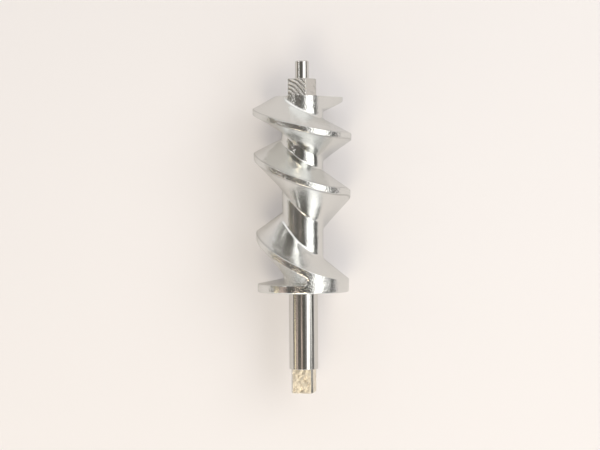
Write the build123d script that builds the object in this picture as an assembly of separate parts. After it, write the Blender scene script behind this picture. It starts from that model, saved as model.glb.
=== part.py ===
# Feed screw of a hand-sized food grinder: one steel casting, with its ends turned and milled.
# Lengths are millimetres and angles are degrees.
# The screw is built about its own axis: z = 0 at the flange's thrust face, +z towards the plate pin.
# It is then laid on its side with the pin towards +Y and +Z up, the way it lies on a table.
# Every angle about the axis is measured from straight up, towards +X.
import os
from math import atan, cos, pi, radians, sin, tan

from build123d import *

# Screw body
body_length = 90.2  # thrust face to the end face that the knife bears on
thrust_end_radius = 21.0  # cone that the flight's land and the flange's rim lie on, at the thrust face
knife_end_radius = 23.1  # the same cone at the end face
core_radius_low = 9.2  # root of the flight at the flange
core_radius_high = 9.6  # root of the flight at the end face
flange_rim = 3.8  # flange thickness at its rim
flange_slope = 0.2  # rise of the flange's inner face for each mm towards the core
rim_chamfer = 0.5  # broken back edge of the flange

# Flight, left-handed, given from the flange upwards by half turns, as the die that cast it is halved.
# It stands square to the axis where the die parts and climbs fastest midway between.
first_station = 237.0
first_centre = 1.0  # height of the land's middle there, inside the flange
last_centre_rise = 1.5  # the last centre, past the end face that cuts the flight off
half_turn_share = [3.65, 23.0, 18.8, 17.6, 7.9, 12.2, 7.55]  # of the climb between those two
# Flank slopes at the stations: mm along the axis for each mm of radius.
pushing_slope = [0.05, 0.85, 0.68, 0.70, 0.47, 0.54, 0.54, 0.50]
trailing_slope = [1.00, 1.00, 1.00, 1.00, 0.94, 0.62, 0.45, 0.45]
land_low = 3.3  # width of the flight's outer land at the flange
land_high = 2.3  # and at the end face
root_round = 1.3  # fillet between the pushing flank and the core
root_sink = 0.08  # how far that fillet dips under the core, so that it runs out on it
section_step = 15.0  # turn between two flight sections
run_out_end = 1255.4  # turn from the first station where the flight has run out on a flat
run_out_step = 1.2  # height that is left of the flight there

# Groove end, where the flight closes on the flange
groove_end = -1.4  # middle of the rounded end
groove_end_radius = 2.1
groove_end_height = 5.9
groove_fill_depth = 6.0  # the closed groove is solid this deep under the land

# Turned and milled ends
journal_diameter = 13.3
journal_length = 35.7
tang_flats = 10.1
tang_length = 11.1
tang_turn = -10.5  # normal of one flat
tang_corner_flats = 13.2  # across the corners, which are cut flat
tang_corner_turn = 45.0  # from a flat to the corner beside it
tang_chamfer = 0.4
knife_flats = 9.85
knife_length = 8.1
knife_turn = -30.4
knife_corner_round = 0.5
pin_diameter = 6.3
pin_length = 8.2
pin_chamfer = 0.4

# How far tools and pieces reach past each other before they are cut or joined
reach = 0.8


def on_line(low, high, z):
    return low + (high - low) * z / body_length


def spin(angle):
    # Turn from the screw's own x direction, which lies at a right angle to straight up.
    return angle - 90.0


def at_station(values, turn):
    # Value at a turn from the first station, level at each station.
    index = min(int(turn // 180), len(values) - 2)
    share = (1 - cos(radians(turn - 180 * index))) / 2
    return values[index] + (values[index + 1] - values[index]) * share


def flight_centre(turn):
    climb = body_length + last_centre_rise - first_centre
    heights = [first_centre]
    for share in half_turn_share:
        heights.append(heights[-1] + climb * share / sum(half_turn_share))
    return at_station(heights, turn)


def half_land(z):
    return on_line(land_low, land_high, z) / 2


def place(turn, points):
    angle = radians(spin(first_station - turn))
    return [Vector(r * cos(angle), r * sin(angle), z) for r, z in points]


def flight_section(turn):
    # Outline in the plane through the axis: land, pushing flank with its root fillet, foot, trailing flank.
    centre = flight_centre(turn)
    radius = on_line(thrust_end_radius, knife_end_radius, centre)
    core = on_line(core_radius_low, core_radius_high, centre)
    run_out = min(radians(run_out_end - turn), 1.4)
    outer = min((core + run_out_step) / cos(run_out), radius + reach)
    foot = core - reach
    push = at_station(pushing_slope, turn)
    trail = at_station(trailing_slope, turn)
    push_edge = centre + half_land(centre)
    trail_edge = centre - half_land(centre)
    lean = atan(push)
    root = core - root_sink
    fillet_r = root + root_round
    fillet_z = push_edge + push * (radius - root) + root_round * tan(pi / 4 - lean / 2)

    def on_fillet(angle):
        return (fillet_r - root_round * cos(angle), fillet_z - root_round * sin(angle))

    fillet_start = pi / 2 - lean
    corners = place(turn, [
        (outer, trail_edge - trail * (radius - outer)),
        (outer, push_edge + push * (radius - outer)),
        on_fillet(fillet_start),
        on_fillet(fillet_start / 2),
        on_fillet(0),
        (foot, fillet_z),
        (foot, trail_edge - trail * (radius - foot)),
    ])
    return Wire([
        Edge.make_line(corners[0], corners[1]),
        Edge.make_line(corners[1], corners[2]),
        Edge.make_three_point_arc(corners[2], corners[3], corners[4]),
        Edge.make_line(corners[4], corners[5]),
        Edge.make_line(corners[5], corners[6]),
        Edge.make_line(corners[6], corners[0]),
    ])


def fill_section(turn):
    centre = flight_centre(turn)
    radius = on_line(thrust_end_radius, knife_end_radius, centre)
    inner = radius - groove_fill_depth
    outer = radius + reach
    low = flange_rim / 2
    corners = [(inner, low), (outer, low), (outer, centre), (inner, centre)]
    return Wire.make_polygon(place(turn, corners), close=True)


def steps(first, last, step):
    count = round((last - first) / step)
    return [first + (last - first) * i / count for i in range(count + 1)]


def turned(points):
    return revolve(make_face(Polyline(*[(r, 0, z) for r, z in points], close=True)), Axis.Z)


def milled(flats, length, angle, low):
    block = Box(flats, flats, length, align=(Align.CENTER, Align.CENTER, Align.MIN))
    return Pos(0, 0, low) * Rot(0, 0, spin(angle)) * block


groove_turn = first_station - groove_end
fill = Solid.make_loft([fill_section(t) for t in steps(180, groove_turn, section_step)])
groove_tool = Cylinder(groove_end_radius, 2 * groove_fill_depth, rotation=(0, 90, 0))
groove_middle = thrust_end_radius - groove_fill_depth / 4
fill = fill - Rot(0, 0, spin(groove_end)) * Pos(groove_middle, 0, groove_end_height) * groove_tool

core = turned([(0, 0), (core_radius_low, 0), (core_radius_high, body_length), (0, body_length)])
flange_top = flange_rim + flange_slope * (thrust_end_radius - core_radius_low + reach)
flange_outer = thrust_end_radius + reach
flange = turned([
    (0, 0),
    (flange_outer, 0),
    (flange_outer, flange_rim - flange_slope * reach),
    (core_radius_low - reach, flange_top),
    (0, flange_top),
])
chamfer_radius = on_line(thrust_end_radius, knife_end_radius, rim_chamfer)
envelope = turned([
    (0, 0),
    (chamfer_radius - rim_chamfer, 0),
    (chamfer_radius, rim_chamfer),
    (knife_end_radius, body_length),
    (0, body_length),
])

# The flight goes on the core turn by turn.
body = core
turn_starts = list(range(0, int(run_out_end), 360))
for start, end in zip(turn_starts, turn_starts[1:] + [run_out_end]):
    lap = Solid.make_loft([flight_section(t) for t in steps(start, end, section_step)])
    body = body + (lap & envelope)
body = (body + flange + fill) & envelope

journal_radius = journal_diameter / 2
tang_low = -journal_length - tang_length
tang_reach = tang_length + reach
tang = milled(tang_flats, tang_reach, tang_turn, tang_low)
tang = tang & milled(tang_corner_flats, tang_reach, tang_turn + tang_corner_turn, tang_low)
tang = chamfer(tang.edges().group_by(Axis.Z)[0], tang_chamfer)
bar = Pos(0, 0, -journal_length) * Cylinder(
    journal_radius,
    journal_length + reach,
    align=(Align.CENTER, Align.CENTER, Align.MIN),
)
bar = bar + tang

knife_low = body_length - reach
knife = milled(knife_flats, knife_length + reach, knife_turn, knife_low)
knife = fillet(knife.edges().filter_by(Axis.Z), knife_corner_round)
pin_low = body_length + knife_length
pin_high = pin_low + pin_length
pin_radius = pin_diameter / 2
pin = turned([
    (0, pin_low - reach),
    (pin_radius, pin_low - reach),
    (pin_radius, pin_high - pin_chamfer),
    (pin_radius - pin_chamfer, pin_high),
    (0, pin_high),
])

screw = body + bar + knife + pin
screw = Rot(-90, 0, 0) * screw
screw.label = "feed_screw"
os.makedirs("parts", exist_ok=True)
export_step(screw, "parts/feed_screw.step")
print("feed_screw", screw.is_valid, round(screw.volume), len(screw.solids()), len(screw.faces()))
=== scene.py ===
import math

import bmesh
import bpy
from mathutils import Matrix, Vector


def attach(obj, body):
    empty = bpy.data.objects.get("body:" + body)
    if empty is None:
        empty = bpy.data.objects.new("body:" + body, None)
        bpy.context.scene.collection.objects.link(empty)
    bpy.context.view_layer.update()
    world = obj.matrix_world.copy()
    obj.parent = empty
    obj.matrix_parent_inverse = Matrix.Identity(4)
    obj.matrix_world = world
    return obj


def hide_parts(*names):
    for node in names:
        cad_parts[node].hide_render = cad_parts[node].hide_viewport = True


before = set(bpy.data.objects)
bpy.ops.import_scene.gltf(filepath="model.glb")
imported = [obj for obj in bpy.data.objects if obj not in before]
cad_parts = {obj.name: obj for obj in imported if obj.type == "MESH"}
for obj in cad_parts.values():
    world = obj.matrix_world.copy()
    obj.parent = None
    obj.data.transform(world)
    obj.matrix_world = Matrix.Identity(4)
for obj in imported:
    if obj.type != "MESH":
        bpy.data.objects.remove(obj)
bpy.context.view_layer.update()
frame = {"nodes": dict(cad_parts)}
scene = bpy.context.scene
scene.view_settings.view_transform = "Standard"
mm = 0.001
halfTurn = 180.0
fullTurn = 360.0
toRadians = math.pi / 180.0
print("frame loaded:", ", ".join(frame["nodes"]))


class Shading:
    # the node tree of a finish or of the room, and the few kinds of node that they share
    def __init__(self, owner):
        owner.use_nodes = True
        self.nodes = owner.node_tree.nodes
        self.links = owner.node_tree.links

    def metal(self, colour):
        shader = self.nodes["Principled BSDF"]
        shader.inputs["Base Color"].default_value = (*colour, 1.0)
        shader.inputs["Metallic"].default_value = 1.0
        return shader

    def pattern(self, kind, stretch=(1, 1, 1), turn=0, shift=(0, 0, 0)):
        place = self.nodes.new("ShaderNodeTexCoord")
        mapping = self.nodes.new("ShaderNodeMapping")
        mapping.inputs["Scale"].default_value = stretch
        mapping.inputs["Rotation"].default_value = (0, 0, math.radians(turn))
        mapping.inputs["Location"].default_value = shift
        pattern = self.nodes.new(kind)
        self.links.new(place.outputs["Object"], mapping.inputs["Vector"])
        self.links.new(mapping.outputs["Vector"], pattern.inputs["Vector"])
        return pattern

    def noise(self, sizes):
        stretch = sizes.get("stretch", (1, 1, 1))
        noise = self.pattern("ShaderNodeTexNoise", stretch, sizes.get("turn", 0))
        noise.inputs["Scale"].default_value = sizes["scale"]
        noise.inputs["Detail"].default_value = sizes["detail"]
        return noise.outputs["Fac"]

    def mark(self, name):
        mark = self.nodes.new("ShaderNodeAttribute")
        mark.attribute_name = name
        return mark.outputs["Fac"]

    def math(self, operation, *values):
        node = self.nodes.new("ShaderNodeMath")
        node.operation = operation
        for slot, value in zip(node.inputs, values):
            if isinstance(value, (int, float)):
                slot.default_value = value
            else:
                self.links.new(value, slot)
        return node.outputs[0]

    def spread(self, source, low, high, fromLow=0.3, fromHigh=0.7):
        fit = self.nodes.new("ShaderNodeMapRange")
        fit.inputs["From Min"].default_value = fromLow
        fit.inputs["From Max"].default_value = fromHigh
        fit.inputs["To Min"].default_value = low
        fit.inputs["To Max"].default_value = high
        self.links.new(source, fit.inputs["Value"])
        return fit.outputs["Result"]

    def bump(self, height, depth, under=None):
        bump = self.nodes.new("ShaderNodeBump")
        bump.inputs["Distance"].default_value = depth
        self.links.new(height, bump.inputs["Height"])
        if under is not None:
            self.links.new(under, bump.inputs["Normal"])
        return bump.outputs["Normal"]

    def blend(self, factor, under, over):
        mix = self.nodes.new("ShaderNodeMix")
        mix.data_type = "RGBA"
        underSlot, overSlot = mix.inputs[6], mix.inputs[7]  # the two colours
        self.links.new(factor, mix.inputs["Factor"])
        if isinstance(under, tuple):
            underSlot.default_value = (*under, 1.0)
        else:
            self.links.new(under, underSlot)
        overSlot.default_value = (*over, 1.0)
        return mix.outputs[2]

    def ramp(self, source, stops):
        ramp = self.nodes.new("ShaderNodeValToRGB")
        line = ramp.color_ramp
        while len(line.elements) < len(stops):
            line.elements.new(0.5)
        for element, (place, colour) in zip(line.elements, stops):
            element.position = place
            element.color = (*colour, 1.0)
        self.links.new(source, ramp.inputs["Fac"])
        return ramp.outputs["Color"]


castingSizes = {
    "colour": (0.79, 0.795, 0.78),
    # the colour of the painted shade line under the land edges
    "edgeShadeColour": (0.45, 0.445, 0.435),
    "wave": {"scale": 130, "detail": 2.0},
    "waveDepth": 0.00022,
    "scratch": {"scale": 420, "detail": 4.0, "stretch": (1, 6, 1)},
    "scratchDepth": 0.000012,
    "grain": {"scale": 1400, "detail": 1.0},
    "grainDepth": 0.00015,
    "grainLeft": 0.22,  # share of the grain that polishing leaves
    "cloud": {"scale": 260, "detail": 4.0},
    "gloss": (0.1, 0.18),
    "speckleDull": 0.05,
    "flankDull": 0.08,
}


def makePolishedCasting(sizes):
    finish = bpy.data.materials.new("polishedCasting")
    shading = Shading(finish)
    shader = shading.metal(sizes["colour"])
    # hand polishing leaves the skin a little wavy, with short scratches round the axis
    normal = shading.bump(shading.noise(sizes["wave"]), sizes["waveDepth"])
    normal = shading.bump(shading.noise(sizes["scratch"]), sizes["scratchDepth"], normal)
    # the lands, the rim and the core keep a speckled skin
    speckle = shading.mark("speckle")
    kept = shading.spread(speckle, sizes["grainLeft"], 1.0, 0.0, 1.0)
    grain = shading.math("MULTIPLY", shading.noise(sizes["grain"]), kept)
    normal = shading.bump(grain, sizes["grainDepth"], normal)
    shading.links.new(normal, shader.inputs["Normal"])
    # and the flanks a duller one
    gloss = shading.spread(shading.noise(sizes["cloud"]), *sizes["gloss"])
    gloss = shading.math("MULTIPLY_ADD", speckle, sizes["speckleDull"], gloss)
    gloss = shading.math("MULTIPLY_ADD", shading.mark("flank"), sizes["flankDull"], gloss)
    shading.links.new(gloss, shader.inputs["Roughness"])
    # the land edges are darkened by the painted shade line
    tone = shading.blend(shading.mark("paintedEdgeShade"), sizes["colour"], sizes["edgeShadeColour"])
    shading.links.new(tone, shader.inputs["Base Color"])
    return finish


turnedSizes = {
    "colour": (0.73, 0.72, 0.70),
    "lathe": {"scale": 3500, "detail": 2.0, "stretch": (0.02, 1, 0.02)},
    "latheDepth": 0.000008,
    "rub": {"scale": 1100, "detail": 2.0, "stretch": (1, 0.03, 1)},
    "rubDepth": 0.000018,
    "cloud": {"scale": 600, "detail": 2.0, "stretch": (1, 0.1, 1)},
    "gloss": (0.12, 0.2),
}


def makeTurnedSteel(sizes):
    finish = bpy.data.materials.new("turnedSteel")
    shading = Shading(finish)
    shader = shading.metal(sizes["colour"])
    # lathe lines run round the axis, and rubbing in the bearing draws faint lines along it
    normal = shading.bump(shading.noise(sizes["lathe"]), sizes["latheDepth"])
    normal = shading.bump(shading.noise(sizes["rub"]), sizes["rubDepth"], normal)
    shading.links.new(normal, shader.inputs["Normal"])
    gloss = shading.spread(shading.noise(sizes["cloud"]), *sizes["gloss"])
    shading.links.new(gloss, shader.inputs["Roughness"])
    return finish


millSizes = {
    "distortion": 2.4,
    "arcDetail": 2.0,
    "arcDetailScale": 1.5,
    "arcSharpness": 3.0,
    "smear": {"detail": 4.0, "stretch": (1, 0.45, 1), "turn": 55},
    "stain": {"scale": 900, "detail": 3.0, "stretch": (1, 0.6, 1), "turn": 40},
    "stainFrom": (0.48, 0.72),
    "stainColour": (0.48, 0.40, 0.30),
    # for each end: centre of the cutter's sweep, gap between its arcs and their depth,
    # then how coarse and deep its smears are, the gloss, and how far stains darken the metal
    "knife": {
        "centre": (-0.0103, 0.084, -0.0003),
        "gap": 0.0018,
        "depth": 0.00019,
        "smearScale": 480,
        "smearDepth": 0.00003,
        "gloss": (0.18, 0.28),
        "colour": (0.69, 0.68, 0.655),
        "stained": 0.1,
    },
    "tang": {
        "centre": (-0.030, -0.070, 0.010),
        "gap": 0.0024,
        "depth": 0.000010,
        "smearScale": 640,
        "smearDepth": 0.00050,
        "gloss": (0.30, 0.56),
        # paler and warmer than the knife end's steel: a painted warm reflection, not the steel's own tone
        "colour": (0.92, 0.86, 0.74),
        "stained": 0.65,
    },
}


def makeMilledSteel(name, sizes, end):
    finish = bpy.data.materials.new(name)
    shading = Shading(finish)
    shader = shading.metal(end["colour"])
    # cutter arcs sweep down across the flats
    arcs = shading.pattern("ShaderNodeTexWave", shift=[-v for v in end["centre"]])
    arcs.wave_type = "RINGS"
    arcs.rings_direction = "SPHERICAL"
    arcs.inputs["Scale"].default_value = math.pi / 10 / end["gap"]  # a wave is pi / 10 long at scale 1
    arcs.inputs["Distortion"].default_value = sizes["distortion"]
    arcs.inputs["Detail"].default_value = sizes["arcDetail"]
    arcs.inputs["Detail Scale"].default_value = sizes["arcDetailScale"]
    ridge = shading.math("POWER", arcs.outputs["Fac"], sizes["arcSharpness"])
    normal = shading.bump(ridge, end["depth"])
    # and leave smears that slant the same way
    smear = shading.noise({**sizes["smear"], "scale": end["smearScale"]})
    normal = shading.bump(smear, end["smearDepth"], normal)
    shading.links.new(normal, shader.inputs["Normal"])
    shading.links.new(shading.spread(smear, *end["gloss"]), shader.inputs["Roughness"])
    # brownish stains lie in patches
    stain = shading.spread(shading.noise(sizes["stain"]), 0.0, end["stained"], *sizes["stainFrom"])
    tone = shading.blend(stain, end["colour"], sizes["stainColour"])
    shading.links.new(tone, shader.inputs["Base Color"])
    return finish


paperSizes = {
    "colour": (0.775, 0.752, 0.754),
    "roughness": 0.9,
    "shine": 0.1,
    "liftColour": (1.0, 0.955, 0.94),
    "lift": 0.125,
}


def makePaper(sizes):
    paper = bpy.data.materials.new("palePaper")
    shading = Shading(paper)
    shader = shading.nodes["Principled BSDF"]
    shader.inputs["Base Color"].default_value = (*sizes["colour"], 1.0)
    shader.inputs["Roughness"].default_value = sizes["roughness"]
    shader.inputs["Specular IOR Level"].default_value = sizes["shine"]
    shader.inputs["Emission Color"].default_value = (*sizes["liftColour"], 1.0)
    # lifted towards white where the camera looks at it
    path = shading.nodes.new("ShaderNodeLightPath")
    lift = shading.math("MULTIPLY", path.outputs["Is Camera Ray"], sizes["lift"])
    shading.links.new(lift, shader.inputs["Emission Strength"])
    return paper


polishedCasting = makePolishedCasting(castingSizes)
turnedSteel = makeTurnedSteel(turnedSizes)
milledKnife = makeMilledSteel("milledKnifeSquare", millSizes, millSizes["knife"])
milledTang = makeMilledSteel("milledTang", millSizes, millSizes["tang"])
palePaper = makePaper(paperSizes)
print("finishes made")


# the flight is one left-hand strip from crest to crest, wound round the core
screwSizes = {
    # inputs of the flight's node tree, in millimetres, degrees and slopes
    "flight": {
        "bodyLength": 90.2,
        "thrustRadius": 21.0,
        "knifeRadius": 23.1,
        "coreLow": 9.2,
        "coreHigh": 9.6,
        "flangeRim": 3.8,
        "flangeSlope": 0.2,
        "firstStation": 237.0,
        "firstCentre": 1.0,
        "lastRise": 1.5,
        "landLow": 3.3,
        "landHigh": 2.3,
        # the climb of each half turn, then the flanks' slopes where the half turns start and end
        "climb": [3.65, 23.0, 18.8, 17.6, 7.9, 12.2, 7.55],
        "pushing": [0.05, 0.85, 0.68, 0.70, 0.47, 0.54, 0.54, 0.50],
        "trailing": [1.00, 1.00, 1.00, 1.00, 0.94, 0.62, 0.45, 0.45],
        # the flat that the flight runs out on
        "runOutEnd": 1259.8,
        "runOutDepth": 0.4,
        "runOutWidest": 1.45,  # radians before its end, where it is well clear of the flight
        "runOutSink": 2.0,  # how far it sinks past its end
        "runOutFall": 12.0,  # and over what turn
        "closingTurn": 8.0,  # the land's underside closes over this turn
        "stripEnd": 1302.0,
        # the first groove's blind end
        "grooveTurn": -121.6,
        "grooveRadius": 2.1,
        "grooveHeight": 5.9,
        "hookRound": 0.7,
        "hookReach": 0.6,
        "hookSteep": 4.0,
        "fillRound": 0.5,
        "fillDrop": 30.0,  # sinks the fill out of the way past the first turn
        "startSteep": 50.0,  # how sharply things start and stop at the first station
        # rounded edges and roots
        "edgeStep": 0.15,
        "edgeRound": 0.28,
        "rootRound": 1.7,
        "lastRootMore": 1.6,
        "lastRootStart": 74.0,
        "lastRootRise": 8.0,
        "trailingRound": 0.5,
        "flangeRound": 0.6,
        "channelRound": 0.4,
    },
    # more inputs, for the marks that the finish reads: where they start, how far they take to fade
    # and how strong they are
    "marks": {
        "landStart": -0.12,
        "landFade": 0.1,
        "flankStart": 0.4,
        "flankFade": 7.0,
        "speckleLow": 0.45,
        "speckleGrow": 30.0,
        "coreStart": 0.8,
        "coreFade": -0.6,
        "coreSpeckle": 0.4,
        "topStart": 77.0,
        "topFade": 4.0,
        "topSpeckle": 0.6,
        # the painted shade line under the land edges: its depth below the skin, where it starts and fades
        # in
        "shadeLineDepth": 0.28,
        "shadeLineStart": 10.0,
        "shadeLineFade": 8.0,
    },
    "columns": 1108,
    "channelRows": 64,
    "edgeRows": 6,
    "landRows": 4,  # rows at each edge that lie on the land
    "rimRound": 0.5,
    "rimAngles": (0, 30, 60, 90),
    "lowEnd": 20.0,  # bare edges below this height are the flange's
    "gridWeld": 0.004,
    "endWeld": 0.006,
    "sharpAngle": 32,
}


class Wire:
    # a number inside a node tree, written as plain arithmetic
    def __init__(self, tree, socket):
        self.tree = tree
        self.socket = socket

    def run(self, operation, *others):
        node = self.tree.nodes.new("ShaderNodeMath")
        node.operation = operation
        for slot, value in enumerate((self, *others)):
            if isinstance(value, Wire):
                self.tree.links.new(value.socket, node.inputs[slot])
            else:
                node.inputs[slot].default_value = value
        return Wire(self.tree, node.outputs[0])

    def __add__(self, other):
        return self.run("ADD", other)

    def __sub__(self, other):
        return self.run("SUBTRACT", other)

    def __mul__(self, other):
        return self.run("MULTIPLY", other)

    def __truediv__(self, other):
        return self.run("DIVIDE", other)

    def least(self, other):
        return self.run("MINIMUM", other)

    def most(self, other):
        return self.run("MAXIMUM", other)

    def softLeast(self, other, blend):
        return self.run("SMOOTH_MIN", other, blend)

    def softMost(self, other, blend):
        return self.run("SMOOTH_MAX", other, blend)

    def between(self, low, high):
        return self.most(low).least(high)

    def rest(self):
        return self * -1.0 + 1.0

    def ramp(self, start, length):
        return ((self - start) / length).between(0.0, 1.0)

    def eased(self):
        return (self.between(0.0, 1.0) * math.pi).run("COSINE") * -0.5 + 0.5


class FlightTree:
    # the node tree that winds the flight, with one named input for each size
    def __init__(self, sizes):
        self.sizes = sizes
        self.rowCount = sizes["channelRows"] + 2 * sizes["edgeRows"]
        self.tree = bpy.data.node_groups.new("windFlight", "GeometryNodeTree")
        self.tree.is_modifier = True
        face = self.tree.interface
        face.new_socket(name="Geometry", in_out="OUTPUT", socket_type="NodeSocketGeometry")
        self.inputs = []
        for name, value in {**sizes["flight"], **sizes["marks"]}.items():
            several = isinstance(value, list)
            for place, single in enumerate(value if several else [value]):
                label = f"{name} {place + 1}" if several else name
                socket = face.new_socket(name=label, in_out="INPUT", socket_type="NodeSocketFloat")
                self.inputs.append((socket.identifier, single))
        finish = face.new_socket(name="finish", in_out="INPUT", socket_type="NodeSocketMaterial")
        self.finishSlot = finish.identifier
        self.given = self.add("NodeGroupInput")

    def add(self, kind):
        return self.tree.nodes.new(kind)

    def link(self, source, target):
        self.tree.links.new(source, target)

    def size(self, name):
        return Wire(self.tree, self.given.outputs[name])

    def layGrid(self):
        # columns follow the turn, and rows cross the channel from one crest to the next
        columns = self.sizes["columns"]
        grid = self.add("GeometryNodeMeshGrid")
        grid.inputs["Size X"].default_value = columns
        grid.inputs["Size Y"].default_value = self.rowCount
        grid.inputs["Vertices X"].default_value = columns + 1
        grid.inputs["Vertices Y"].default_value = self.rowCount + 1
        position = self.add("GeometryNodeInputPosition")
        split = self.add("ShaderNodeSeparateXYZ")
        self.link(position.outputs[0], split.inputs[0])
        column = Wire(self.tree, split.outputs["X"]) + columns / 2
        row = Wire(self.tree, split.outputs["Y"]) + self.rowCount / 2
        turn = column / columns * (self.size("stripEnd") + fullTurn) - fullTurn
        return grid.outputs["Mesh"], turn, row

    def bodyRadius(self, height):
        taper = (self.size("knifeRadius") - self.size("thrustRadius")) / self.size("bodyLength")
        return height * taper + self.size("thrustRadius")

    def crest(self, angle):
        # heights and slopes move from one half turn to the next on a cosine ease
        size = self.size
        halfTurns = len(self.sizes["flight"]["climb"])
        climbed = size("climb 1")
        for k in range(1, halfTurns):
            climbed = climbed + size(f"climb {k + 1}")
        part = (size("bodyLength") + size("lastRise") - size("firstCentre")) / climbed
        centre = size("firstCentre")
        push = size("pushing 1")
        trail = size("trailing 1")
        for k in range(halfTurns):
            ease = (angle / halfTurn - k).eased()
            centre = centre + size(f"climb {k + 1}") * part * ease
            push = push + (size(f"pushing {k + 2}") - size(f"pushing {k + 1}")) * ease
            trail = trail + (size(f"trailing {k + 2}") - size(f"trailing {k + 1}")) * ease
        widening = size("landHigh") - size("landLow")
        half = (centre / size("bodyLength") * widening + size("landLow")) * 0.5
        # a flat cut that meets the core ends the flight
        toGo = ((size("runOutEnd") - angle) * toRadians).between(0.0, size("runOutWidest"))
        past = angle.ramp(size("runOutEnd"), size("runOutFall"))
        flat = size("coreHigh") - size("runOutDepth")
        closing = angle.ramp(size("runOutEnd"), size("closingTurn"))
        return {
            "centre": centre,
            "line": centre.least(size("bodyLength")),
            "half": half,
            "push": push,
            "trail": trail,
            "outer": flat / toGo.run("COSINE") - past * size("runOutSink"),
            "here": (angle * size("startSteep") + 1.0).between(0.0, 1.0),
            "underEdge": (centre - half + half * closing).least(size("bodyLength")),
        }

    def heightAcross(self, row, below, above):
        # rows crowd at the two land edges and are even across the channel
        edgeRows = self.sizes["edgeRows"]
        landRows = self.sizes["landRows"]
        halfRow = 0.5
        edgeStep = self.size("edgeStep")
        lowEdge = (below["centre"] + below["half"]).most(self.size("flangeRim"))
        highEdge = above["underEdge"]
        rowsLeft = row * -1.0 + self.rowCount
        span = edgeStep * (edgeRows - landRows)
        channelLow = lowEdge + span
        channelHigh = (highEdge - span).most(channelLow)
        across = (row - edgeRows) / self.sizes["channelRows"]
        channel = channelLow + (channelHigh - channelLow) * across
        atLow = (row - edgeRows - halfRow).run("LESS_THAN", 0.0)
        atHigh = (rowsLeft - edgeRows - halfRow).run("LESS_THAN", 0.0)
        firstRow = row.run("LESS_THAN", halfRow)
        lastRow = rowsLeft.run("LESS_THAN", halfRow)
        lowRow = lowEdge + (row - landRows) * edgeStep
        highRow = (highEdge - (rowsLeft - landRows) * edgeStep).most(channelHigh)
        lowPart = below["line"] * firstRow + lowRow * firstRow.rest()
        highPart = above["line"] * lastRow + highRow * lastRow.rest()
        height = lowPart * atLow + highPart * atHigh + channel * (atLow + atHigh).rest()
        return height.most(below["line"]).least(above["line"].most(below["line"]))

    def grooveFill(self, turn, height, skin, above):
        # the first groove ends blind against a filled stretch beside the flange
        size = self.size
        along = (size("grooveTurn") - turn) * toRadians * size("thrustRadius")
        ahead = along.most(0.0)
        beside = height - size("grooveHeight")
        hollow = (ahead * ahead + beside * beside).run("SQRT") - size("grooveRadius")
        wall = hollow.least(along + size("hookReach")).least(above["centre"] - height)
        past = (turn * size("startSteep")).between(0.0, 1.0)
        return skin + wall.softLeast(0.0, size("hookRound")) * size("hookSteep") - past * size("fillDrop")

    def radiusAt(self, turn, height, below, above):
        size = self.size
        edge = size("edgeRound")
        skin = self.bodyRadius(height)
        core = height / size("bodyLength") * (size("coreHigh") - size("coreLow")) + size("coreLow")
        # the last root, under the knife end, is the fullest
        fuller = height.ramp(size("lastRootStart"), size("lastRootRise"))
        root = size("rootRound") + size("lastRootMore") * fuller
        pushed = height - below["centre"] - below["half"]
        risingFlank = self.bodyRadius(below["centre"]) - pushed / below["push"]
        flightBelow = skin.least(below["outer"]).softLeast(risingFlank, edge) * below["here"]
        flangeFace = size("thrustRadius") - (height - size("flangeRim")) / size("flangeSlope")
        flange = skin.softLeast(flangeFace, edge / size("flangeSlope"))
        trailed = above["centre"] - above["half"] - height
        fallingFlank = self.bodyRadius(above["centre"]) - trailed / above["trail"]
        flightAbove = skin.least(above["outer"]).softLeast(fallingFlank, edge) * above["here"]
        lowSide = flightBelow.softMost(core, root).softMost(flange, size("flangeRound"))
        highSide = flightAbove.softMost(core, size("trailingRound"))
        radius = lowSide.softMost(highSide, size("channelRound"))
        filled = self.grooveFill(turn, height, skin, above)
        return radius.softMost(filled, size("fillRound")).least(skin), skin, core

    def finishMarks(self, radius, height, skin, core):
        size = self.size
        land = (radius - skin).ramp(size("landStart"), size("landFade"))
        flank = (radius - core).ramp(size("flankStart"), size("flankFade")) * land.rest()
        # the lands are speckled, most of all away from the flange
        speckle = land * (height / size("speckleGrow") + size("speckleLow")).between(0.0, 1.0)
        # so is the core, most of all under the knife end
        bareCore = (radius - core).ramp(size("coreStart"), size("coreFade"))
        amount = height.ramp(size("topStart"), size("topFade")) * size("topSpeckle") + size("coreSpeckle")
        speckle = speckle.most(bareCore * amount)
        # painted shade: a thin darker line under each land edge, for the dark reflection on its rounding
        line = ((skin - radius) / size("shadeLineDepth") - 1.0).run("ABSOLUTE").rest().between(0.0, 1.0)
        paintedEdgeShade = line * height.ramp(size("shadeLineStart"), size("shadeLineFade"))
        return {"speckle": speckle, "flank": flank, "paintedEdgeShade": paintedEdgeShade}

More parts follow.
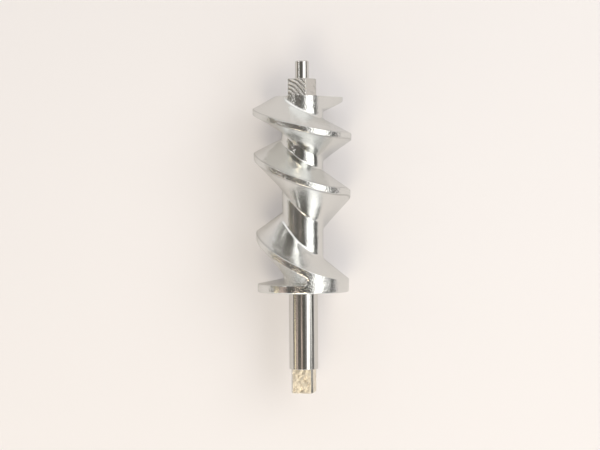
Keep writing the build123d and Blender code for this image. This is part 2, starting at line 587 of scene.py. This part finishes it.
    def wind(self):
        mesh, turn, row = self.layGrid()
        below = self.crest(turn)
        above = self.crest(turn + fullTurn)
        height = self.heightAcross(row, below, above)
        radius, skin, core = self.radiusAt(turn, height, below, above)
        bearing = (turn * -1.0 + self.size("firstStation")) * toRadians
        join = self.add("ShaderNodeCombineXYZ")
        self.link((radius * bearing.run("SINE") * mm).socket, join.inputs["X"])
        self.link((height * mm).socket, join.inputs["Y"])
        self.link((radius * bearing.run("COSINE") * mm).socket, join.inputs["Z"])
        for name, value in self.finishMarks(radius, height, skin, core).items():
            mark = self.add("GeometryNodeStoreNamedAttribute")
            mark.data_type = "FLOAT"
            mark.domain = "POINT"
            mark.inputs["Name"].default_value = name
            self.link(mesh, mark.inputs["Geometry"])
            self.link(value.socket, mark.inputs["Value"])
            mesh = mark.outputs[0]
        bend = self.add("GeometryNodeSetPosition")
        self.link(mesh, bend.inputs["Geometry"])
        self.link(join.outputs[0], bend.inputs["Position"])
        weld = self.add("GeometryNodeMergeByDistance")
        weld.inputs["Distance"].default_value = self.sizes["gridWeld"] * mm
        self.link(bend.outputs[0], weld.inputs[0])
        realize = self.add("GeometryNodeRealizeInstances")
        self.link(weld.outputs[0], realize.inputs[0])
        paint = self.add("GeometryNodeSetMaterial")
        self.link(realize.outputs[0], paint.inputs["Geometry"])
        self.link(self.given.outputs["finish"], paint.inputs["Material"])
        out = self.add("NodeGroupOutput")
        self.link(paint.outputs[0], out.inputs[0])


def closeEnds(mesh, sizes):
    shape = bmesh.new()
    shape.from_mesh(mesh)
    bmesh.ops.remove_doubles(shape, verts=shape.verts, dist=sizes["endWeld"] * mm)
    bmesh.ops.delete(shape, geom=[e for e in shape.edges if e.is_wire], context="EDGES")

    def isLow(edge):
        return max(v.co.y for v in edge.verts) < sizes["lowEnd"] * mm

    bare = [e for e in shape.edges if e.is_boundary]
    ring = [e for e in bare if isLow(e)]
    high = [e for e in bare if not isLow(e)]
    # the flange's rim is carried round its back edge
    bend = sizes["rimRound"]
    for angle in sizes["rimAngles"]:
        lean = math.radians(angle)
        grown = bmesh.ops.extrude_edge_only(shape, edges=ring)["geom"]
        ring = [g for g in grown if isinstance(g, bmesh.types.BMEdge)]
        y = bend * (1 - math.sin(lean))
        radius = sizes["flight"]["thrustRadius"] - bend * (1 - math.cos(lean))
        for vert in {v for e in ring for v in e.verts}:
            level = Vector((vert.co.x, 0, vert.co.z)).normalized() * radius * mm
            vert.co = (level.x, y * mm, level.z)
        ring = [e for e in ring if e.is_boundary]
    bmesh.ops.contextual_create(shape, geom=ring)
    bmesh.ops.contextual_create(shape, geom=high)
    bmesh.ops.recalc_face_normals(shape, faces=shape.faces)
    left = sum(1 for e in shape.edges if not e.is_manifold)
    shape.to_mesh(mesh)
    shape.free()
    return left


def smoothWithEdges(piece, angle):
    piece.data.shade_smooth()
    piece.data.set_sharp_from_angle(angle=math.radians(angle))


def windScrewBody(sizes):
    flight = FlightTree(sizes)
    flight.wind()
    body = bpy.data.objects.new("screwBody", bpy.data.meshes.new("screwBody"))
    scene.collection.objects.link(body)
    modifier = body.modifiers.new("windFlight", "NODES")
    modifier.node_group = flight.tree
    for identifier, value in flight.inputs:
        modifier[identifier] = value
    modifier[flight.finishSlot] = polishedCasting
    ready = body.evaluated_get(bpy.context.evaluated_depsgraph_get())
    plain = bpy.data.meshes.new_from_object(ready)
    body.modifiers.clear()
    body.data = plain
    left = closeEnds(plain, sizes)
    smoothWithEdges(body, sizes["sharpAngle"])
    print("screw body wound:", len(plain.polygons), "faces,", left, "open edges")
    return body


screwBody = windScrewBody(screwSizes)


def loftRings(name, rings, finishes, pick, bare=lambda k: False):
    # a ring is a height and its (x, z) points, as many in each, and pick gives each band's finish
    weld = 0.001 * mm
    sharpAngle = 28
    shape = bmesh.new()
    levels = [[shape.verts.new((x * mm, y * mm, z * mm)) for x, z in ring] for y, ring in rings]
    count = len(levels[0])
    for place, (lower, upper) in enumerate(zip(levels, levels[1:])):
        for k in range(count):
            after = (k + 1) % count
            face = shape.faces.new((lower[k], lower[after], upper[after], upper[k]))
            face.material_index = 0 if bare(k) else pick[place]
    shape.faces.new(levels[0]).material_index = pick[0]
    shape.faces.new(levels[-1]).material_index = pick[-1]
    bmesh.ops.remove_doubles(shape, verts=shape.verts, dist=weld)
    bmesh.ops.recalc_face_normals(shape, faces=shape.faces)
    mesh = bpy.data.meshes.new(name)
    shape.to_mesh(mesh)
    shape.free()
    for finish in finishes:
        mesh.materials.append(finish)
    piece = bpy.data.objects.new(name, mesh)
    scene.collection.objects.link(piece)
    smoothWithEdges(piece, sharpAngle)
    print(name, "made:", len(mesh.polygons), "faces")
    return piece


def alongFlat(middle, side, reach, steps):
    # points of one flat as (angle, radius), without its last
    slides = [reach * (2 * step / steps - 1) for step in range(steps)]
    return [(middle + math.atan2(slide, side), math.hypot(slide, side)) for slide in slides]


def placed(ring, radius=None, scale=1.0):
    return [((radius or r * scale) * math.sin(a), (radius or r * scale) * math.cos(a)) for a, r in ring]


# the square tang and round journal that the screw is driven and carried by
driveSizes = {
    "journalDiameter": 13.3,
    "journalLength": 35.7,
    "shoulderBreak": (0.15, 0.1),  # along the journal, then across it
    "tangFlats": 10.1,
    "tangCornerFlats": 13.2,
    "tangLength": 11.1,
    "tangTurn": -10.5,
    "tangChamfer": 0.4,
    "sunk": 0.4,  # how far the journal reaches into the flange
    "flatSteps": 20,
    "cornerSteps": 6,
}


def cutSquare(sizes):
    # a square with its corners cut flat
    side, corner = sizes["tangFlats"] / 2, sizes["tangCornerFlats"] / 2
    reach = corner * math.sqrt(2) - side
    cornerReach = corner * math.tan(math.pi / 4 - math.atan2(reach, side))
    ring = []
    for k in range(4):
        middle = math.radians(sizes["tangTurn"]) + k * math.pi / 2
        ring += alongFlat(middle, side, reach, sizes["flatSteps"])
        ring += alongFlat(middle + math.pi / 4, corner, cornerReach, sizes["cornerSteps"])
    return ring


def makeDriveEnd(sizes):
    square = cutSquare(sizes)
    journal = sizes["journalDiameter"] / 2
    shoulder = -sizes["journalLength"]
    end = shoulder - sizes["tangLength"]
    cut = sizes["tangChamfer"]
    along, inwards = sizes["shoulderBreak"]
    rings = [
        (sizes["sunk"], placed(square, journal)),
        (shoulder + along, placed(square, journal)),
        (shoulder, placed(square, journal - inwards)),
        (shoulder, placed(square)),
        (end + cut, placed(square)),
        (end, placed(square, scale=1 - 2 * cut / sizes["tangFlats"])),
    ]
    # the cut corners are what is left of the turned bar
    quarter = len(square) // 4
    return loftRings(
        "driveEnd",
        rings,
        [turnedSteel, milledTang],
        [0, 0, 0, 1, 1],
        bare=lambda k: k % quarter >= sizes["flatSteps"],
    )


# the square that turns the knife, and the pin that the plate is centred on
knifeSizes = {
    "start": 90.2,
    "flats": 9.85,
    "cornerRound": 0.5,
    "length": 8.1,
    "turn": -30.4,
    "edgeBreak": 0.2,
    "pinDiameter": 6.3,
    "pinLength": 8.2,
    "pinChamfer": 0.4,
    "sunk": 0.4,  # how far the square reaches into the body
    "flatSteps": 16,
    "cornerSteps": 6,
}


def roundedSquare(sizes):
    side, bend = sizes["flats"] / 2, sizes["cornerRound"]
    inner = side - bend
    ring = []
    for k in range(4):
        middle = math.radians(sizes["turn"]) + k * math.pi / 2
        ring += alongFlat(middle, side, inner, sizes["flatSteps"])
        for step in range(sizes["cornerSteps"]):
            lean = math.pi / 2 * step / sizes["cornerSteps"]
            out, over = inner + bend * math.cos(lean), inner + bend * math.sin(lean)
            ring.append((middle + math.atan2(over, out), math.hypot(over, out)))
    return ring


def makeKnifeEnd(sizes):
    square = roundedSquare(sizes)
    top = sizes["start"] + sizes["length"]
    end = top + sizes["pinLength"]
    pin = sizes["pinDiameter"] / 2
    cut = sizes["pinChamfer"]
    edge = sizes["edgeBreak"]
    rings = [
        (sizes["start"] - sizes["sunk"], placed(square)),
        (top - edge, placed(square)),
        (top, placed(square, scale=1 - 2 * edge / sizes["flats"])),
        (top, placed(square, pin)),
        (end - cut, placed(square, pin)),
        (end, placed(square, pin - cut)),
    ]
    return loftRings("knifeEnd", rings, [milledKnife, turnedSteel], [0, 0, 0, 1, 1])


driveEnd = makeDriveEnd(driveSizes)
knifeEnd = makeKnifeEnd(knifeSizes)

for piece in (screwBody, driveEnd, knifeEnd):
    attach(piece, "root")
    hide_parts("feed_screw")


floorSizes = {
    "reach": 3.0,
    "gap": 0.00001,
}


def layFloor(sizes, screw):
    # the screw lies on its taper, so the floor leans with it
    lean = (screw["knifeRadius"] - screw["thrustRadius"]) / screw["bodyLength"]
    level = -screw["thrustRadius"] * mm - sizes["gap"]
    far = sizes["reach"]
    corners = [(x, y, level - lean * y) for x, y in ((-far, -far), (far, -far), (far, far), (-far, far))]
    mesh = bpy.data.meshes.new("paperFloor")
    mesh.from_pydata(corners, [], [(0, 1, 2, 3)])
    mesh.materials.append(palePaper)
    floor = bpy.data.objects.new("paperFloor", mesh)
    scene.collection.objects.link(floor)


def aimed(place, target, up):
    back = (Vector(place) - Vector(target)).normalized()
    right = Vector(up).cross(back).normalized()
    turn = Matrix((right, back.cross(right), back)).transposed().to_4x4()
    return Matrix.Translation(place) @ turn


lightSizes = {
    "far": 0.85,
    "white": (1.0, 0.985, 0.96),
    "gold": (1.0, 0.85, 0.57),
    "rose": (1.0, 0.77, 0.66),
    "cream": (1.0, 0.87, 0.64),
    # name, angle from straight up, first and last place along the screw, width, glow, tint
    "panels": [
        ("rightSoftbox", 44.5, -0.02, 0.53, 0.55, 1.65, "white"),
        ("feather", 22.0, -0.02, 0.53, 0.09, 0.95, "white"),
        ("outerFeather", 15.5, -0.02, 0.53, 0.10, 0.45, "white"),
        ("middleSoftbox", 46.0, -0.055, -0.02, 0.44, 1.65, "white"),
        ("lowerSoftbox", 37.5, -0.47, -0.055, 0.33, 1.65, "white"),
        ("lowerFade", 67.0, -0.121, -0.05, 0.16, 0.9, "white"),
        ("lowStrip", -72, -0.40, -0.066, 0.18, 1.1, "gold"),
        ("midStrip", -54, -0.40, -0.066, 0.20, 0.65, "rose"),
        ("highStrip", -15, -0.150, -0.064, 0.13, 0.85, "rose"),
        ("highPanel", -9, -0.68, -0.28, 0.46, 4.6, "cream"),
        ("edgeStrip", -85, -0.02, 0.30, 0.035, 0.9, "cream"),
        ("pinStrip", -51, 0.15, 0.25, 0.14, 3.3, "white"),
    ],
    # the rest of the room: its colours by angle from straight up, then how it changes by the
    # direction looked in, along the screw (shade, wallEdge, backdropStart) and upwards (horizon)
    "room": [
        (-90, (0.17, 0.158, 0.14)),
        (-25, (0.15, 0.14, 0.125)),
        (-8, (0.11, 0.105, 0.095)),
        (12, (0.11, 0.105, 0.098)),
        (22, (0.40, 0.39, 0.37)),
        (62, (0.45, 0.44, 0.42)),
        (69, (0.07, 0.066, 0.06)),
        (90, (0.07, 0.066, 0.06)),
    ],
    "shade": 0.5,
    "shadeFrom": (-0.14, -0.05),
    "wall": (1.2, 1.18, 1.16),
    "wallEdge": [(0.20, 0.0), (0.75, 1.0)],
    "backdrop": (0.85, 0.84, 0.83),
    "backdropStart": (0.11, 0.17),
    "horizon": [(0.125, 1.0), (0.16, 0.0)],
}


def hangPanels(sizes):
    for name, angle, first, last, width, glow, tint in sizes["panels"]:
        lean = math.radians(angle)
        middle = (first + last) / 2
        place = (sizes["far"] * math.sin(lean), middle, sizes["far"] * math.cos(lean))
        lamp = bpy.data.lights.new(name, "AREA")
        lamp.shape = "RECTANGLE"
        lamp.size = width
        lamp.size_y = last - first
        lamp.energy = glow * math.pi * width * (last - first)
        lamp.color = sizes[tint]
        holder = bpy.data.objects.new(name, lamp)
        holder.matrix_world = aimed(place, (0, middle, 0), (0, 1, 0))
        scene.collection.objects.link(holder)


def greys(stops):
    return [(place, (value, value, value)) for place, value in stops]


def paintRoom(sizes):
    # a dim room: dark overhead, warm on the left, pale at its two ends
    world = bpy.data.worlds.new("studio")
    shading = Shading(world)
    place = shading.nodes.new("ShaderNodeTexCoord")
    split = shading.nodes.new("ShaderNodeSeparateXYZ")
    shading.links.new(place.outputs["Generated"], split.inputs[0])
    across, along, up = split.outputs
    # from the left horizon over the top to the right one
    swing = shading.math("ARCTAN2", across, up)
    bearing = shading.spread(swing, 0.0, 1.0, -math.pi / 2, math.pi / 2)
    stops = [(angle / halfTurn + 0.5, colour) for angle, colour in sizes["room"]]
    # darker behind the drive end
    shade = shading.nodes.new("ShaderNodeVectorMath")
    shade.operation = "SCALE"
    shading.links.new(shading.ramp(bearing, stops), shade.inputs[0])
    shaded = shading.spread(along, sizes["shade"], 1.0, *sizes["shadeFrom"])
    shading.links.new(shaded, shade.inputs["Scale"])
    # pale walls at the two ends, and a backdrop low down in front of them
    ends = shading.math("ABSOLUTE", along)
    walls = shading.blend(shading.ramp(ends, greys(sizes["wallEdge"])), shade.outputs[0], sizes["wall"])
    low = shading.ramp(up, greys(sizes["horizon"]))
    lowEnds = shading.math("MULTIPLY", low, shading.spread(ends, 0.0, 1.0, *sizes["backdropStart"]))
    backdrop = shading.blend(lowEnds, walls, sizes["backdrop"])
    shading.links.new(backdrop, shading.nodes["Background"].inputs["Color"])
    scene.world = world


cameraSizes = {
    "lens": 108.0,
    "sensor": 36.0,
    "nearest": 0.01,
    "place": (-0.00134, 0.0511, 0.8318),
    "target": (-0.00134, 0.0308, 0.0),
    "up": (0.00673, 1.0, 0.0),
}


def setCamera(sizes):
    lens = bpy.data.cameras.new("topView")
    lens.lens = sizes["lens"]
    lens.sensor_width = sizes["sensor"]
    lens.clip_start = sizes["nearest"]
    camera = bpy.data.objects.new("topView", lens)
    camera.matrix_world = aimed(sizes["place"], sizes["target"], sizes["up"])
    scene.collection.objects.link(camera)
    scene.camera = camera


layFloor(floorSizes, screwSizes["flight"])
hangPanels(lightSizes)
paintRoom(lightSizes)
setCamera(cameraSizes)
print("stage, light and camera set")
